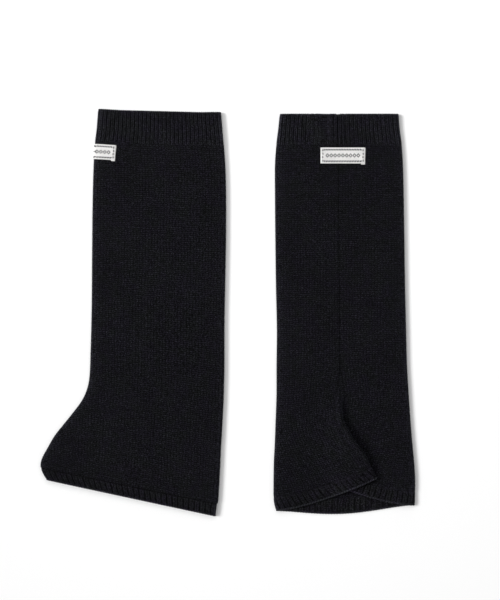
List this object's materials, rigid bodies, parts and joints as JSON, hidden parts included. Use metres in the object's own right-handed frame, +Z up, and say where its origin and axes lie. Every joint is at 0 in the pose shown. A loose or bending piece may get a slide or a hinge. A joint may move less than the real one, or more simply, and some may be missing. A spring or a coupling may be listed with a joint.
{
  "type": "pair of leg warmers",
  "caption": "Pair of black knitted leg warmers with ribbed cuffs, flared instep and woven white labels, laid flat side by side",
  "frame": {"origin": "on the surface, under the middle of the space that the laid-out pair takes up", "axes": "+X across the pair to the right, +Y along the legs towards the cuffs, +Z up off the surface"},
  "size_m": [0.3897, 0.424, 0.0145],
  "materials": {
    "knit": "soft matt black knit",
    "label": "woven white tape"
  },
  "bodies": {
    "root": {"left_cuff": "knit", "left_leg": "knit", "left_hem": "knit", "left_label": "label", "right_cuff": "knit", "right_leg": "knit", "right_hem": "knit", "right_label": "label"}
  },
  "joints": []
}
